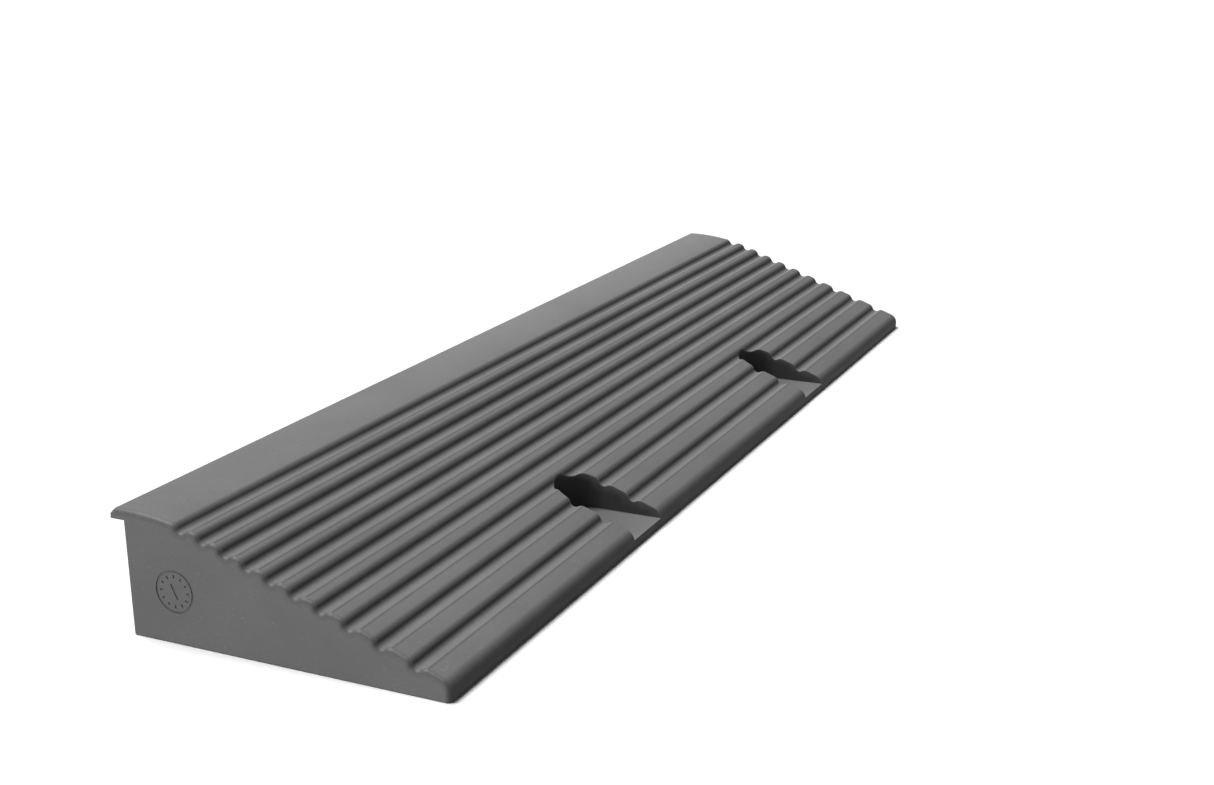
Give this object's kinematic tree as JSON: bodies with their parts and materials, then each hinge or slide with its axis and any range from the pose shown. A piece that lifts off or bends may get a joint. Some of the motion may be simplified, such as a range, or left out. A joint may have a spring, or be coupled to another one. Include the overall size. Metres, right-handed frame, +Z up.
{
  "type": "threshold ramp",
  "caption": "Wide wedge-shaped rubber ramp with cross ribs, a sill lip at the top edge and screw pockets with metal eyelets in its nose.",
  "frame": {"origin": "middle of the bounding box's underside, on the floor", "axes": "+X along the doorway, which is the ramp's width; -Y towards the nose, where a wheel comes up; +Y towards the lip on the sill; +Z up"},
  "size_m": [0.8, 0.1996, 0.069],
  "materials": {
    "rubber": "matte, fine grain",
    "eyelet_steel": "zinc plated, dull"
  },
  "bodies": {
    "root": {"ramp_body": "rubber", "fixing_eyelet_left": "eyelet_steel", "fixing_eyelet_right": "eyelet_steel", "eyelet_ring_left": "eyelet_steel", "eyelet_ring_right": "eyelet_steel"}
  },
  "joints": []
}
